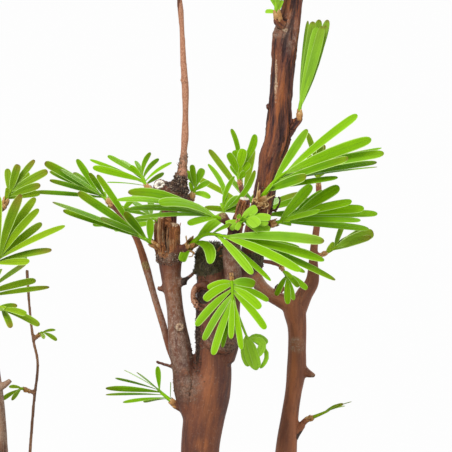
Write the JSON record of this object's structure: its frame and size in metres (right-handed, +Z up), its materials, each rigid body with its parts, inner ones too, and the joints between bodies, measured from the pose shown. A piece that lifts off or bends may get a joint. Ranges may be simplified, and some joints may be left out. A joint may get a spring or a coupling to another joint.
{
  "type": "dawn redwood bonsai",
  "caption": "Group planting of young dawn redwood bonsai trees with cut stumps, slim upright shoots and flat bright green leaf sprays, standing in soil in a plain unglazed stoneware tray.",
  "frame": {"origin": "under the middle of the pot, on the surface that its feet stand on", "axes": "+Z up, +X along the pot to the right as seen from the front, +Y to the back, away from the side that the picture is taken from"},
  "size_m": [0.23, 0.156, 0.3074],
  "materials": {
    "stoneware": "matte",
    "soil": "matte",
    "drain_mesh": "matte",
    "bark_central": "matte",
    "bark_right": "matte",
    "bark_left": "matte",
    "leaf_fresh": "satin",
    "leaf_deep": "satin"
  },
  "bodies": {
    "root": {"pot": "stoneware", "drain_screen_left": "drain_mesh", "drain_screen_right": "drain_mesh", "soil": "soil", "wood_central_tree": "bark_central", "wood_right_tree": "bark_right", "wood_left_tree": "bark_left", "spray_left_upper": "leaf_fresh", "spray_left_tip": "leaf_fresh", "spray_stump_back": "leaf_fresh", "spray_front_left": "leaf_fresh", "spray_stump_right": "leaf_fresh", "spray_middle": "leaf_fresh", "spray_behind_leader": "leaf_fresh", "spray_upright_tuft": "leaf_fresh", "spray_right_high": "leaf_fresh", "spray_right_low": "leaf_fresh", "spray_front_small": "leaf_fresh", "spray_front_right": "leaf_fresh", "spray_hanging_fan": "leaf_fresh", "spray_curled": "leaf_fresh", "spray_trunk_left": "leaf_fresh", "spray_right_hanging": "leaf_fresh", "spray_leader_left": "leaf_fresh", "spray_leader_1": "leaf_fresh", "spray_leader_2": "leaf_fresh", "spray_leader_3": "leaf_fresh", "spray_leader_4": "leaf_fresh", "spray_leader_5": "leaf_fresh", "spray_leader_top": "leaf_fresh", "spray_shoot_top": "leaf_fresh", "spray_shoot_side": "leaf_fresh", "spray_back_stump": "leaf_fresh", "spray_back_leader": "leaf_fresh", "spray_right_tree_top": "leaf_deep", "spray_right_tree_side": "leaf_deep", "spray_right_tree_low": "leaf_deep", "spray_right_tree_fork": "leaf_deep", "spray_left_tree_front": "leaf_deep", "spray_left_tree_drooping": "leaf_deep", "spray_left_tree_high": "leaf_deep", "spray_whip_upper": "leaf_deep", "spray_whip_lower": "leaf_deep", "spray_left_tree_top": "leaf_deep", "spray_left_tree_1": "leaf_deep", "spray_left_tree_2": "leaf_deep", "spray_left_tree_3": "leaf_deep", "spray_left_tree_4": "leaf_deep"}
  },
  "joints": []
}
